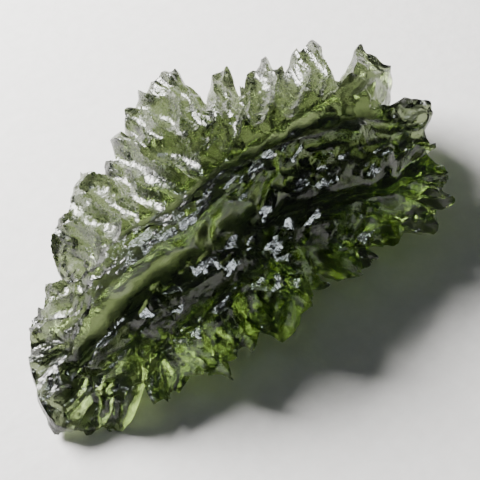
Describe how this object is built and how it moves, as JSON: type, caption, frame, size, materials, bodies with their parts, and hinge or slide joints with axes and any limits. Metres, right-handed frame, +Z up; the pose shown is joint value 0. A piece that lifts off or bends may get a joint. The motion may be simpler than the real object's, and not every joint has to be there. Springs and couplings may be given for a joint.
{
  "type": "moldavite",
  "caption": "Leaf-shaped stone of natural green glass with deep grooves fanning from a long spine to a sharp toothed rim, lying on its underside.",
  "frame": {"origin": "bottom centre of the stone's box, on the surface that it rests on", "axes": "+X along the stone's length towards its broad end, +Y across it towards the rim that lifts higher, +Z up"},
  "size_m": [0.0358, 0.0222, 0.0083],
  "materials": {
    "green_glass": "naturally etched, glossy and finely striated, translucent olive green, paler at thin edges"
  },
  "bodies": {
    "root": {"moldavite": "green_glass"}
  },
  "joints": []
}
